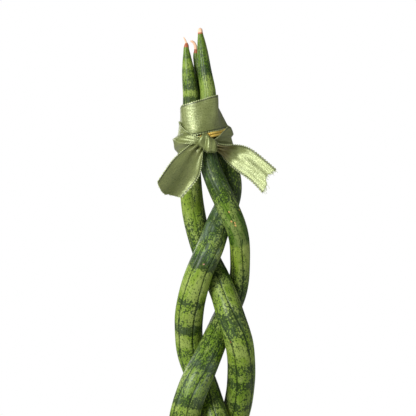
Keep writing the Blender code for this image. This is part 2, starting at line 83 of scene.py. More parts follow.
# The leaves. A tip point is across, depth, height and diameter, and a width is height and
# diameter. Furrows are height, the angles of two furrows, in degrees from the left towards the
# front, and how dark they are. Dry is how far from the tip the pale end and the red-brown end
# reach. A band is height and how much of the skin is dark there. A tone is height and how light
# the green is, and bloom is height and how much grey wax is on it; where bloom rises above its
# base it is painted sheen of the key light's highlight. Some bands and tones are painted shade,
# noted where they stand. A scar is height, angle, radius and hue.
LEAVES = {
    "leaf_left": {
        "tip": [
            (-23.2, -1, 454.6, 0.9), (-21.9, -1, 452.4, 1.2), (-21.2, -1, 450.4, 1.4),
            (-20.9, -1, 449.3, 2.7), (-20.9, -1, 447.6, 3.8),
        ],
        "route": [
            (446, -21, -1), (429, -19.5, -0.5), (407, -17.3, 0), (386, -17.8, 1), (362, -18.3, 3),
            (338, -17.4, 7), (320, -15.2, 10), (302, -10.8, 12), (286, -4.6, 9.5), (272, 2.2, 2.5),
            (258, 8, -5.5), (244, 12.6, -11), (228, 17.8, -11.5), (208, 20.6, -4.5), (190, 20.3, 4),
            (170, 17.2, 12.5), (150, 11.2, 15.5), (122, 3, 13.5), (96, -1, 12), (74, -1, 12), (50, -1, 12),
        ],
        "width": [
            (446, 4.1), (437, 7.2), (429, 9.6), (407, 12.7), (386, 14.2), (362, 15.8), (331, 17.2),
            (290, 18.4), (245, 20.8), (160, 21.4), (96, 22.6), (50, 20),
        ],
        "furrows": [
            (446, 40, 100, 0), (400, 38, 98, 0.1), (331, 22, 95, 0.35), (309, 33, 94, 0.4),
            (255, 25, 95, 0.9), (239, 40, 112, 0.9), (229, 54, 122, 1), (217, 62, 129, 1),
            (206, 68, 136, 1), (195, 72, 144, 1), (172, 77, 154, 0.9), (50, 90, 160, 0.9),
        ],
        "dry": (5.0, 8.4),
        "bands": [
            (446, 0.3), (441, 0.35), (439.4, 0.6), (437.5, 0.2), (431.5, 0.15), (429.5, 0.65),
            (428.2, 0.7), (426.5, 0.25), (424.5, 0.35), (422.5, 0.65), (419.5, 0.5), (417.6, 0.85),
            (415, 0.6), (413.5, 0.15), (410.5, 0.15), (408.5, 0.85), (403, 0.95), (396, 0.4), (380, 0.6),
            (366, 0.3), (344, 0.4), (338, 0.25), (322, 0.3), (316, 0.5), (308, 0.6), (300, 0.55),
            # From 288 to 272 the skin is darker as painted shade, where leaf_middle crosses in front.
            (288, 0.6), (272, 0.65), (266, 0.4), (262, 0.25), (249, 0.25), (245.5, 0.65), (238, 0.75),
            (234, 0.5), (228, 0.4), (221, 0.25), (212, 0.25), (208, 0.65), (205, 0.6), (202, 0.25),
            (199, 0.35), (197, 0.75), (192.5, 0.7), (190, 0.3), (182, 0.3), (179, 0.65), (176, 0.6),
            (173, 0.3), (164, 0.4),
        ],
        "tones": [
            (446, 0), (439, -0.2), (434, 0.4), (428, 0.15), (418, -0.1), (412, 0.45), (406, -0.2),
            # The dark tone at 275 is painted shade, where leaf_middle crosses in front.
            (386, 0), (345, 0.3), (331, 0.5), (318, 0.3), (300, 0.05), (275, -0.6), (262, 0.0),
            (254, 0.25), (246, 0.2), (240, 0), (228, 0.25), (212, 0.3), (204, 0.05), (190, 0.1),
            (172, 0.1), (50, 0.1),
        ],
        "bloom": [(446, 0.15), (50, 0.12)],
        "scars": [(246.6, 34, 0.35, "dark"), (227.7, 38, 0.4, "red"), (169, 90, 0.5, "tan")],
    },
    "leaf_right": {
        "tip": [(-10.6, -3, 461.3, 2.2), (-10.5, -3, 460.2, 3.3), (-10.4, -3, 458.4, 3.7)],
        "route": [
            (456, -10.2, -3), (442, -8.6, -4), (426, -6.6, -5), (411, -4.4, -6), (386, -6, -7.5),
            (368, -5.8, -10), (350, -0.6, -13), (336, 5.4, -15.5), (320, 12.8, -15.5), (304, 18.4, -10),
            (288, 19.8, 0.5), (272, 19.4, 9.5), (258, 16.2, 13), (244, 9.6, 10.5), (228, 2, 3),
            (210, -6.3, -7), (191, -15.3, -12.6), (170, -21.8, -11), (146, -24, -7), (120, -20, -6),
            (96, -17.5, -7), (74, -17.5, -7), (50, -17.5, -7),
        ],
        "width": [
            (456, 4.2), (451, 6.0), (442, 8.4), (431, 10.1), (411, 11.8), (386, 13.6), (360, 15),
            (325, 16.6), (303, 15.4), (285, 15.2), (263, 16.2), (240, 18.4), (225, 19.8), (205, 22),
            (170, 22.9), (96, 23.6), (50, 20),
        ],
        "furrows": [
            (456, 25, 85, 0), (400, 20, 80, 0.1), (350, 12, 68, 0.4), (322, 20, 80, 0.4),
            (306, 35, 95, 0.5), (298, 38, 99, 1), (278, 50, 110, 1), (263, 60, 121, 1),
            (240, 66, 124, 0.8), (225, 66, 118, 0.5), (211, 61, 110, 0.5), (195, 46, 100, 0.9),
            (186, 42, 95, 1), (176, 38, 96, 0.9), (50, 30, 95, 0.9),
        ],
        "dry": (3.6, 4.6),
        "bands": [
            (456, 0.35), (446, 0.38), (440, 0.45), (433, 0.45), (430.5, 0.7), (425.5, 0.75), (423, 0.35),
            # From 368 to 340, just under the knot, the dark skin is partly a dark band and partly painted
            # shadow of the knot.
            (410, 0.2), (400, 0.5), (380, 0.6), (368, 0.95), (340, 0.9), (332, 0.65), (328, 0.4),
            (316, 0.35), (310, 0.25), (302, 0.25), (300.4, 0.4), (299.4, 0.12), (284, 0.15), (279, 0.4),
            (270, 0.5), (262, 0.65), (254, 0.75), (240, 0.5), (222, 0.5), (208, 0.5), (204.6, 0.75),
            (203, 0.75), (201.6, 0.4), (190, 0.35), (185, 0.4), (182.6, 0.8), (178.5, 0.75), (177, 0.3),
            (173, 0.3), (171, 0.6), (169, 0.4), (164, 0.5),
        ],
        "tones": [
            # The dark tones at 365 and 350, just under the knot, are partly the leaf's own dark green and
            # partly painted shadow of the knot.
            (455, -0.1), (440, -0.3), (426, -0.35), (420, 0.3), (408, 0.2), (365, -0.6), (350, -0.4),
            (338, 0.1), (328, -0.15), (320, -0.5), (312, -0.75), (301, -0.75), (299, 0.6), (285, 0.5),
            (279, 0.2), (265, -0.1), (255, -0.4), (235, 0.0), (205, 0.0), (200, 0.2), (190, 0.15),
            (182, -0.15), (175, 0.25), (50, 0.1),
        ],
        # The higher bloom at 340 and from 215 to 176 is painted sheen, where the key light's highlight
        # falls.
        "bloom": [
            (456, 0.12), (340, 0.25), (320, 0.05), (215, 0.15), (204, 0.45), (190, 0.45), (176, 0.12),
            (50, 0.12),
        ],
        "scars": [
            (323.2, 85, 0.45, "tan"), (317.5, 76, 0.6, "tan"), (316, 91, 0.45, "tan"),
            (314, 88, 0.6, "tan"), (321.7, 150, 0.5, "tan"),
        ],
    },
    "leaf_middle": {
        "tip": [
            (-18.2, 3.5, 452, 1.2), (-16.3, 3.7, 451.6, 1.8), (-14.5, 4, 449.4, 2.2),
            (-13.8, 4.3, 445, 2.8),
        ],
        "route": [
            (441, -13.8, 4.5), (424, -10.4, 5), (402, -3.9, 6), (386, 2.9, 6), (370, 7.4, 6),
            (356, 10.8, 6), (342, 12.6, 5.5), (328, 10, 4.4), (312, 3.2, -0.8), (296, -2.6, -8.5),
            (281, -9.4, -12.4), (264, -15, -9.5), (246, -18.6, 0), (228, -19.2, 9.8), (210, -16.4, 13.5),
            (190, -8, 10), (170, -0.8, 0), (148, 6.6, -7), (122, 14, -8), (96, 17, -6), (74, 17, -6),
            (50, 17, -6),
        ],
        "width": [
            (441, 4.4), (433, 6.4), (424, 8), (411, 10), (386, 13.6), (350, 16.6), (304, 19.8),
            (260, 21.4), (232, 21.5), (205, 21.3), (168, 21.4), (96, 22.6), (50, 20),
        ],
        "furrows": [
            (441, 80, 140, 0), (400, 80, 140, 0.2), (334, 78, 138, 0.3), (322, 70, 131, 0.9),
            (308, 64, 126, 0.4), (290, 60, 123, 0.5), (281, 58, 120, 1), (264, 52, 118, 1),
            (255, 46, 119, 1), (244, 46, 113, 1), (225, 44, 106, 1), (214, 35, 103, 1),
            (172, 30, 101, 0.8), (50, 20, 90, 0.9),
        ],
        "dry": (8.2, 11.4),
        "bands": [
            (441, 0.4), (430, 0.5), (412, 0.4), (392, 0.6), (370, 0.75), (345, 0.65), (328, 0.85),
            (318, 0.75), (306, 0.7), (296, 0.55), (290, 0.4), (287.5, 0.5), (286, 0.95), (280.5, 0.95),
            (279, 0.25), (276, 0.12), (262, 0.12), (259.4, 0.3), (258.6, 0.7), (256.6, 0.7), (255, 0.35),
            (248, 0.25), (241, 0.4), (239.4, 0.85), (234.4, 0.85), (232.6, 0.25), (222, 0.2), (219, 0.55),
            (215.6, 0.55), (213, 0.3), (204, 0.4), (196, 0.7), (186, 0.3), (178, 0.68), (168, 0.5),
            (164, 0.5),
        ],
        "tones": [
            (441, 0), (400, -0.2), (365, 0.0), (345, 0.1), (325, -0.2), (300, -0.1), (292, 0.3),
            (286, -0.4), (279, 0.3), (265, 0.3), (258, 0.15), (250, 0.35), (240, 0.2), (236, 0),
            (230, 0.5), (220, 0.2), (213, 0.1), (172, 0.05), (50, 0.1),
        ],
        # The higher bloom from 330 to 288 is painted sheen, where the key light's highlight falls.
        "bloom": [(441, 0.1), (330, 0.2), (318, 0.5), (288, 0.5), (280, 0.12), (50, 0.12)],
        "scars": [(282.2, 93, 0.45, "pink")],
    },
}

# How finely the leaves are divided. A rib's columns crowd a little towards its furrows.
LEAF_RING_STEP = 0.9
PATH_STEP = 4.0
LEAF_RIBS = 6
RIB_COLUMNS = 20
LEAF_COLUMNS = LEAF_RIBS * RIB_COLUMNS
RIB_STEPS = np.arange(RIB_COLUMNS) / RIB_COLUMNS
RIB_SHARES = RIB_STEPS - 0.1 * np.sin(2 * np.pi * RIB_STEPS)

# The leaves' relief. A swelling is a share of the width and how long a radian of its wave is.
TIP_ROUNDING = 0.9
RIB_CROWN = 0.028
GROOVE_DEPTH = 0.34
GROOVE_WIDTH = 0.45
FULL_GROOVE_DIAMETER = 14.0
SWELLINGS = ((0.008, 9.1), (0.006, 4.3))

# How the bands' edges fade, over rings, and the height under which bands follow by chance
BAND_BLUR = (0.1, 0.22, 0.36, 0.22, 0.1)
CHANCE_BELOW = 163.0

# How soft the pale end's and the brown end's edges are, and the radius of the straight rod that
# a leaf's skin is drawn on
PALE_EDGE = 1.2
BROWN_EDGE = 0.8
SKIN_RADIUS = 10.0

# The ribbon's winding: degrees turned from the knot by the left, middle height, width, slant
# and how far out the cloth lies, over whatever is under it
RIBBON_WRAP = [
    (0, 372.6, 8.6, 0, 0.75), (12, 372.8, 11, 0, 0.75), (24, 373.2, 13.8, 0, 0.75),
    (36, 373.9, 16.2, 0, 0.75), (47, 375.1, 18.6, 0, 0.7), (60, 376.9, 22.4, 0, 0.65),
    (82, 378, 23.8, 0, 0.6), (120, 380.4, 25, 0, 0.6),
    (172, 387.5, 25.5, 0.02, 0.6), (222, 394, 26, 0.15, 0.45), (262, 396.1, 26.07, 0.296, 0),
    (300, 396.1, 26.07, 0.296, 0), (346, 396.1, 26.07, 0.296, 0), (372, 395.9, 25.6, 0.296, 0),
    (400, 395.4, 24.7, 0.296, 0), (424, 395, 24.2, 0.296, 0), (442, 394.6, 24.2, 0.28, 0),
    (490, 390, 25, 0.15, 0), (532, 385, 23, 0.05, 0),
    (580, 380.5, 18, 0, 0), (606, 379.3, 16.2, 0, 0), (622, 378.4, 15, 0, 0),
    (634, 377.4, 13.4, 0, 0), (645, 376.5, 12, 0, 0), (660, 375.4, 10.2, 0, 0.1),
    (682, 373.5, 7.2, 0, 0.3), (704, 372.4, 5.2, 0, 0.4),
]
WRAP_START = 262.0
WRAP_AXIS = np.array([-5.5, -1.0])
WRAP_STATIONS = 705

# The cloth: its looped edges, its thickness and how finely it is divided, with a row just inside
# each looped edge
TOOTH_PITCH = 1.7
TOOTH_LENGTH = 0.9
LOOP_SHARE = 0.012
CLOTH_THICK = 0.3
CLOTH_STEP = 0.3
CLOTH_ROWS = 60
CLOTH_SHARES = np.array([0, *np.linspace(LOOP_SHARE, 1 - LOOP_SHARE, CLOTH_ROWS - 2), 1])

# How far the cord lifts the cloth over it, and between which distances from it that fades
CORD_LIFT = CORD_WIDTH + 0.2
CORD_LIFT_REACH = (2.4, 6.0)

# The winding's folds. A flare, the valley and the lip are each how far the cloth stands off or
# in and how wide that is. A start or an end is between which degrees turned a form comes or goes.
# A ripple is its height, how many degrees a radian of it takes and how it leans across the cloth.
COLLAR_FLARE = (1.2, 2.2)
COLLAR_FLARE_END = (384, 402)
BAND_FLARE = (0.9, 1.5)
CORD_END = (205, 245)
CORD_AGAIN_START = (448, 480)
CREASE_SHARE = 0.47
CREASE_RISE = [(0, 1.5), (24, 2.4), (42, 3.5), (60, 3.3), (76, 1.2), (90, 0.3), (110, 0)]
CREST = 0.7
CREST_SHARE = 0.06
LEFT_FOLDS_END = (70, 125)
FAN_DEPTH = 0.13
FAN_FOLDS = 3
FAN_END = (30, 75)
FOLD_HEIGHT = 374.8
VALLEY = (1.1, 0.7)
LIP = (1.0, 1.1)
LIP_DROP = 2.2
RIGHT_FOLDS_START = (600, 636)
TUCK_DEPTH = 0.4
TUCK_FOLDS = 4
TUCK_START = (672, 700)
RIPPLES = ((0.09, 17, 5), (0.06, 7.3, -7))

# How far the upper turn stands off the leaves, by degrees turned
LOOSE_CLOTH = [(470, 0), (452, 0.1), (438, 1.0), (424, 3.0), (412, 5.2), (404, 5.9), (396, 5.8),
               (388, 5.2), (380, 4.2), (372, 3.0), (364, 1.9), (354, 0.9), (344, 0.4),
               (330, 0.5), (316, 1.0), (302, 1.1), (286, 0.6), (270, 0.1), (255, 0)]
LOOSE_LEAN = 9.0

# The tails, from the knot to the cut end: the two edges by across and height, and the depths of
# four lines along the tail, whose shares of the width are those in TAIL_LINES. A cut is a share
# of the width and how much longer the tail is there. Fray is how much further the longest threads
# reach than the shortest. The last value is painted shade: how far the satin beside the knot is
# painted darker and browner, where it lies in shade.
TAIL_LINES = (0.0, 0.4, 0.78, 1.0)
TAIL_FOLDS = 2.5
GATHER_LENGTH = 11.0
GATHER_LEFT = 0.12
PAINTED_SHADE_END = (14, 23)
FRAY_THREADS = 110
THREAD_RADIUS = 0.12
THREAD_SIDES = 4
THREAD_STATIONS = 6
THREAD_REACH = 0.3
THREAD_BEND = 0.45
TAILS = {
    "left": {
        "upper": [
            (-11.4, 374.6), (-17, 372.1), (-23.5, 367.1), (-30.3, 360.7), (-36.4, 352.4), (-44.5, 340.1),
        ],
        "lower": [
            (-7.2, 370.5), (-8.5, 366), (-9.2, 359.9), (-10.6, 351.6), (-15.2, 342.9), (-27.4, 329.3),
        ],
        "depth": [
            (-20.5, -24, -27, -29.5, -31, -31.5), (-21.5, -23.5, -24.5, -25, -25, -24.5),
            (-22, -22, -21.3, -20.4, -18.2, -16.2), (-21.5, -23.4, -23.4, -22.6, -19.6, -16.4),
        ],
        "cut": [(0, -3), (0.1, -1.8), (0.3, -0.4), (0.46, 0), (0.55, -0.8), (0.7, -1.3), (1, -2.2)],
        "fray": 0.4,
        "painted_shade": 0.15,
    },
    "right": {
        "upper": [(1.5, 373.6), (9.1, 371.7), (18.2, 371.9), (27.3, 369), (37.1, 361.3), (46, 353.4)],
        "lower": [(2.7, 369), (5.3, 365.2), (10.6, 358.8), (19, 351.6), (27.3, 345.5), (36.1, 336.1)],
        "depth": [
            (-23.4, -24, -18.2, -17.6, -21.4, -25.2), (-22.4, -21.4, -15.8, -18, -21.9, -26),
            (-21.5, -18.6, -14.4, -18.2, -22.2, -26.4), (-20.5, -17, -13.8, -18.1, -22, -26.2),
        ],
        "cut": [(0, 0), (0.3, -2.6), (0.36, -3.4), (0.52, -3.2), (0.66, -0.8), (0.8, -0.6), (1, 0)],
        "fray": 2.0,
        "painted_shade": 0.65,
    },
}

# The knot: lines of across, depth and height, each from the top, where the cloth comes out of
# the winding, down to where it goes in again. The first and the last are the edges, tucked in
# behind the left fold and behind the right side.
KNOT_LINES = [
    [(-6.4, -17.5, 380), (-6.6, -19.4, 378.6), (-7, -20.2, 376), (-7.4, -20, 373),
     (-7.2, -19.4, 371), (-7, -17.8, 370)],
    [(-6.8, -18.5, 380.6), (-8.6, -22.6, 379.4), (-10.4, -23.6, 376.6), (-11.6, -22.8, 373.6),
     (-11.2, -21, 371.2), (-9.2, -18.5, 370)],
    [(-6.4, -18.5, 381.2), (-7.4, -24.4, 379.8), (-8.8, -26.4, 376.8), (-10, -26.2, 373.4),
     (-9.4, -24.2, 370.4), (-8.2, -19.5, 368.8)],
    [(-6, -18.5, 381.2), (-5.9, -23.8, 379.6), (-6.3, -24.9, 376.4), (-7, -24.6, 372.4),
     (-7, -23.6, 369.2), (-6.7, -19.5, 367)],
    [(-5.8, -18.5, 381), (-5, -24.6, 379.2), (-4.7, -26.9, 375.8), (-4.9, -27.5, 371.2),
     (-5.1, -26.3, 367.4), (-5.1, -20.5, 366.2)],
    [(-5.4, -18.5, 380.4), (-3.4, -24.4, 377.8), (-1.9, -26.7, 374.9), (-1.7, -27.4, 371),
     (-1.8, -26.4, 367.2), (-2, -20.5, 366)],
    [(-5, -18.5, 379.7), (-1.4, -23.8, 376.5), (0.9, -25.5, 374), (1.3, -26.1, 370.8),
     (1.2, -25, 367.4), (0.8, -20.5, 366.4)],
    [(-4.6, -18.5, 378.9), (-0.2, -22, 375.6), (2.2, -22.6, 373.8), (2.5, -22.6, 370.8),
     (2.2, -22, 368), (1.5, -19.5, 367)],
    [(-5, -17.8, 378.6), (-3.2, -19.4, 376), (-2.4, -19.8, 374), (-2.2, -19.8, 371.2),
     (-2.4, -19.4, 368.6), (-2.6, -18, 367.6)],
]
PLEATS = 5.5
PLEAT_DEPTH = 0.22

# How finely the pot and the soil are divided, and the loose bits on the soil: how many, how large
# the largest is, and the least and most that each is stretched three ways
POT_SIDES = 192
POT_RING_GAP = 3.0
ARC_STEPS = 4
SOIL_SIDES = 220
SOIL_RINGS = 110
SOIL_WAVES = 9
CRUMBS = 1500
CRUMB_SIZE = 2.1
CRUMB_STRETCH = ((0.8, 0.6, 0.4), (1.6, 1.0, 0.8))

# The camera and its picture
CAMERA_DISTANCE = 1100.0
VIEW_CENTRE = (-4.55, 325.1)
VIEW_WIDTH = 315.3
SENSOR_WIDTH = 36.0

# The lights: place, target and size in metres, power in watts, and colour
LIGHTS = {
    "key": ((-1.05, -1.35, 1.05), (0, 0, 0.3), (0.65, 0.65), 43, (0.99, 0.99, 1.0)),
    "fill": ((1.1, -0.9, 0.5), (0, 0, 0.3), (0.6, 0.9), 2.4, (1.0, 0.99, 0.96)),
    "back": ((-0.9, 1.3, 0.9), (0, 0, 0.3), (0.9, 0.9), 7, (1.0, 0.99, 0.97)),
    "side": ((-1.3, -0.1, 0.6), (0, 0, 0.38), (0.5, 0.8), 3.5, (1.0, 0.99, 0.97)),
    "rim": ((1.3, 0.35, 0.45), (0, 0, 0.3), (0.9, 1.2), 1.6, (1.0, 0.98, 0.94)),
}
AMBIENT = 0.18
FLOOR_RINGS = np.array([200.0, 420.0, 640.0, 860.0, 1050.0])
FLOOR_SIDES = 96

FRONT = np.array([0.0, -1.0, 0.0])
UP = np.array([0.0, 0.0, 1.0])

# A direction that no tube runs along
ASIDE = (0.13, 0.31, 0.94)


def smooth_curve(stations):
    """The natural cubic curve through stations of a place and its values."""
    table = np.array(stations, float)
    table = table[np.argsort(table[:, 0])]
    places = table[:, 0]
    values = table[:, 1:]
    count = len(places)
    steps = np.diff(places)
    matrix = np.eye(count)
    bends = np.zeros_like(values)
    for k in range(1, count - 1):
        matrix[k, k - 1:k + 2] = steps[k - 1], 2 * (steps[k - 1] + steps[k]), steps[k]
        slopes = np.diff(values[k - 1:k + 2], axis=0) / steps[k - 1:k + 1, None]
        bends[k] = 6 * (slopes[1] - slopes[0])
    bends = np.linalg.solve(matrix, bends)

    def at(place):
        place = np.asarray(place, float)
        k = np.clip(np.searchsorted(places, place) - 1, 0, count - 2)
        step = steps[k][..., None]
        low = (places[k + 1] - place)[..., None] / step
        high = 1 - low
        line = low * values[k] + high * values[k + 1]
        curve = (low ** 3 - low) * bends[k] + (high ** 3 - high) * bends[k + 1]
        return line + curve * step ** 2 / 6

    return at


def steady_curve(stations, places):
    """Values at some places from stations, without overshoot between them."""
    table = np.array(stations, float)
    table = table[np.argsort(table[:, 0])]
    return [np.interp(places, table[:, 0], column) for column in table.T[1:]]


def blend(start, end, place):
    """How far a place is from start to end, from 0 to 1 with a soft start and finish."""
    part = np.clip((place - start) / (end - start), 0, 1)
    return part * part * (3 - 2 * part)


def unit(vectors):
    return vectors / np.linalg.norm(vectors, axis=-1, keepdims=True)


def distances(points):
    """How far along a line of points each of them is."""
    return np.concatenate([[0], np.cumsum(np.linalg.norm(np.diff(points, axis=0), axis=1))])


def around(count):
    """Angles spaced evenly over a full turn."""
    return np.arange(count) * 2 * np.pi / count


def ring_grid(radii, heights, angles):
    """Points on rings about Z, one row of the grid for each ring."""
    x = radii[:, None] * np.cos(angles)
    y = radii[:, None] * np.sin(angles)
    return np.stack(np.broadcast_arrays(x, y, heights), axis=-1)


def grid_normals(points):
    """The direction square to a grid's surface at each of its points."""
    return unit(np.cross(np.gradient(points, axis=0), np.gradient(points, axis=1)))


ROUTE = {name: smooth_curve(leaf["route"]) for name, leaf in LEAVES.items()}
WIDTH = {name: smooth_curve(leaf["width"]) for name, leaf in LEAVES.items()}


# Meshes

def grid_faces(rows, columns, closed=False):
    """Quads of a grid, row by row. In a closed grid the last column meets the first."""
    across = columns if closed else columns - 1
    row, column = np.meshgrid(np.arange(rows - 1), np.arange(across), indexing="ij")
    after = (column + 1) % columns
    corners = [row * columns + column, row * columns + after,
               (row + 1) * columns + after, (row + 1) * columns + column]
    return np.stack(corners, -1).reshape(-1, 4).tolist()


def rod_faces(rings, sides, first=0):
    """Faces of a rod of rings of points, closed at both ends, from its first point's number."""
    faces = (np.array(grid_faces(rings, sides, closed=True)) + first).tolist()
    last = first + (rings - 1) * sides
    faces.append(list(range(first + sides - 1, first - 1, -1)))
    faces.append(list(range(last, last + sides)))
    return faces


def add_object(name, data):
    made = bpy.data.objects.new(name, data)
    bpy.context.scene.collection.objects.link(made)
    return made


def make_piece(name, points, faces, surface, node, values=None):
    """A smooth mesh piece from points in millimetres, which rides on the part's one body."""
    mesh = bpy.data.meshes.new(name)
    mesh.from_pydata(points.reshape(-1, 3) * MM, [], faces)
    for key, value in (values or {}).items():
        single = value.size == len(mesh.vertices)
        layer = mesh.attributes.new(key, "FLOAT" if single else "FLOAT_VECTOR", "POINT")
        layer.data.foreach_set("value" if single else "vector", value.astype(np.float32).ravel())
    mesh.shade_smooth()
    mesh.materials.append(surface)
    piece = add_object(name, mesh)
    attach(piece, "root")
    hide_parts(node)
    return piece


def tubes(lines, radius, sides):
    """Points and faces of round tubes along lines of points, each closed at its ends."""
    points = []
    faces = []
    angles = around(sides)[:, None]
    for line in lines:
        faces += rod_faces(len(line), sides, sum(map(len, points)))
        along = unit(np.gradient(line, axis=0))
        side = unit(np.cross(along, ASIDE))
        up = np.cross(side, along)
        ring = np.cos(angles) * side[:, None, :] + np.sin(angles) * up[:, None, :]
        points.append((line[:, None, :] + radius * ring).reshape(-1, 3))
    return np.vstack(points), faces


# Materials

def srgb(red, green, blue):
    """A colour as the eye names it, from 0 to 255, in the linear values that shaders take."""
    parts = [channel / 255 for channel in (red, green, blue)]
    return (*[((p + 0.055) / 1.055) ** 2.4 if p > 0.04 else p / 12.92 for p in parts], 1.0)


class Surface:
    """A material whose nodes are added step by step and end in its one shader."""

    def __init__(self, name, **constants):
        self.material = bpy.data.materials.new(name)
        self.material.use_nodes = True
        self.tree = self.material.node_tree
        self.shader = self.tree.nodes["Principled BSDF"]
        for key, value in constants.items():
            self.shader.inputs[key.replace("_", " ")].default_value = value

    def feed(self, socket, value):
        if isinstance(value, bpy.types.NodeSocket):
            self.tree.links.new(value, socket)
        else:
            socket.default_value = value

    def node(self, kind, inputs, output=0, **settings):
        made = self.tree.nodes.new(kind)
        for key, value in settings.items():
            setattr(made, key, value)
        for place, value in inputs.items():
            self.feed(made.inputs[place], value)
        return made.outputs[output]

    def attribute(self, name, output="Fac"):
        return self.node("ShaderNodeAttribute", {}, output, attribute_name=name)

    def place(self):
        """Where a point is on its piece, in metres."""
        return self.node("ShaderNodeTexCoord", {}, "Object")

    def math(self, operation, first, second=0.0, third=0.0):
        return self.node("ShaderNodeMath", {0: first, 1: second, 2: third}, operation=operation)

    def times(self, first, second):
        return self.math("MULTIPLY", first, second)

    def total(self, *parts, base=0.0):
        """A base and the sum of some values, each times its weight."""
        for value, weight in parts:
            base = self.math("MULTIPLY_ADD", value, weight, base)
        return base

    def vary(self, base, noise, amount):
        """A value moved up and down by a noise."""
        return self.math("MULTIPLY_ADD", self.math("SUBTRACT", noise, 0.5), amount, base)

    def stretch(self, vector, factors, shift=(0, 0, 0)):
        inputs = {0: vector, 1: factors, 2: shift}
        return self.node("ShaderNodeVectorMath", inputs, operation="MULTIPLY_ADD")

    def noise(self, vector, scale, detail=3.0, roughness=0.55):
        inputs = {"Vector": vector, "Scale": scale, "Detail": detail, "Roughness": roughness}
        return self.node("ShaderNodeTexNoise", inputs, 0)

    def ease(self, value, low, high, start=0.0, end=1.0):
        inputs = {0: value, 1: low, 2: high, 3: start, 4: end}
        return self.node("ShaderNodeMapRange", inputs, interpolation_type="SMOOTHSTEP")

    def mix(self, factor, first, color):
        inputs = {0: factor, 6: first, 7: srgb(*color)}
        return self.node("ShaderNodeMix", inputs, 2, data_type="RGBA")

    def ramp(self, value, stops):
        made = self.tree.nodes.new("ShaderNodeValToRGB")
        self.feed(made.inputs[0], value)
        elements = made.color_ramp.elements
        while len(elements) < len(stops):
            elements.new(0.5)
        for element, (place, color) in zip(elements, stops):
            element.position = place
            element.color = srgb(*color)
        return made.outputs[0]

    def finish(self, color, roughness=None, height=None, distance=0.1, strength=1.0):
        """Connect the colour, the roughness and a bump whose height is in millimetres."""
        self.feed(self.shader.inputs["Base Color"], color)
        if roughness is not None:
            self.feed(self.shader.inputs["Roughness"], roughness)
        if height is not None:
            inputs = {"Strength": strength, "Distance": distance * MM, "Height": height}
            self.feed(self.shader.inputs["Normal"], self.node("ShaderNodeBump", inputs))
        return self.material


# Leaves

LEAF_GREENS = [(0.0, (42, 76, 14)), (0.3, (76, 108, 22)), (0.55, (112, 138, 38)),
               (0.8, (140, 161, 64)), (1.0, (160, 178, 84))]
LEAF_PALE = (158, 170, 98)
BAND_GREEN = (19, 42, 3)
SPECK_GREEN = (23, 46, 2)
FLECK_GREEN = (130, 154, 74)
FURROW_GREEN = (14, 36, 9)
WAX_AND_SHEEN_GREY = (128, 146, 134)
DRY_BROWN = (160, 92, 60)
DRY_PALE = (232, 190, 158)
SCAR_COLORS = {"tan": (206, 160, 96), "pink": (188, 140, 124), "red": (120, 62, 44),
               "dark": (58, 44, 24)}


def leaf_path(name):
    """Places along a leaf from its tip, with the centre and the diameter at each."""
    leaf = LEAVES[name]
    top = leaf["route"][0][0]
    heights = np.linspace(top, LEAF_FOOT, round((top - LEAF_FOOT) / PATH_STEP) + 1)
    body = np.column_stack([ROUTE[name](heights), heights, WIDTH[name](heights)])
    stations = np.vstack([np.array(leaf["tip"], float), body])
    along = distances(stations[:, :3])
    curve = smooth_curve(np.column_stack([along, stations[:, :3]]))
    places = np.linspace(0, along[-1], round(along[-1] / LEAF_RING_STEP) + 1)
    diameters = np.interp(places, along, stations[:, 3])
    diameters *= np.sqrt(np.clip(places / TIP_ROUNDING, 0.04, 1))
    return places, curve(places), diameters


def furrow_angles(name, heights):
    """Angles of the furrows at each height and of the first one again, a full turn on."""
    first, second, _ = steady_curve(LEAVES[name]["furrows"], heights)
    rest = [second + (first + 360 - second) * k / (LEAF_RIBS - 1) for k in range(LEAF_RIBS)]
    return np.radians(np.column_stack([first] + rest))


def band_cover(name, heights, rng):
    """How much of the skin is dark at each height of each rib; bands step between the ribs."""
    bands = list(LEAVES[name]["bands"])
    low = CHANCE_BELOW
    while low > LEAF_FOOT:
        wide = rng.uniform(3, 8)
        bands += [(low, rng.uniform(0.15, 0.35)), (low - 1.5, rng.uniform(0.7, 0.9)),
                  (low - wide, rng.uniform(0.7, 0.9)), (low - wide - 1.5, rng.uniform(0.15, 0.35))]
        low -= wide + rng.uniform(6, 14)
    cover = [steady_curve(bands, heights + rng.uniform(-1, 1))[0] for _ in range(LEAF_RIBS)]
    soft = [np.convolve(np.pad(rib, 2, "edge"), BAND_BLUR, "valid") for rib in cover]
    return np.column_stack(soft)


def skin_green(s, place, patch, streak):
    """Green by the leaf's tone, with streaks along it and pale patches."""
    tone = s.total((s.attribute("tone"), 0.36), base=0.48)
    tone = s.vary(s.vary(tone, patch, 0.5), streak, 0.5)
    pale = s.noise(s.stretch(place, (1, 1, 0.5), (14, 3, 29)), 0.12, 2)
    return s.mix(s.ease(pale, 0.45, 0.65, 0, 0.4), s.ramp(tone, LEAF_GREENS), LEAF_PALE)


def skin_bands(s, color, place, patch, mottle, speck):
    """Dark bands and specks, and light flecks inside the bands."""
    band = s.attribute("band")
    near = s.ease(s.attribute("furrow"), 0.3, 2.4, 0.17, 0)
    cover = s.math("ADD", band, s.times(near, s.attribute("mark")))
    cover = s.math("MINIMUM", s.vary(cover, patch, 0.7), 0.8)
    color = s.mix(s.ease(s.vary(mottle, cover, 0.5), 0.45, 0.57, 0, 0.88), color, BAND_GREEN)
    color = s.mix(s.ease(speck, 0.54, 0.68, 0, 0.75), color, SPECK_GREEN)
    fleck = s.noise(s.stretch(place, (1, 1, 0.6), (3, 41, 5)), 0.9, 2, 0.55)
    fleck = s.times(s.ease(fleck, 0.55, 0.68), s.ease(band, 0.45, 0.9, 0, 0.24))
    return s.mix(fleck, color, FLECK_GREEN)


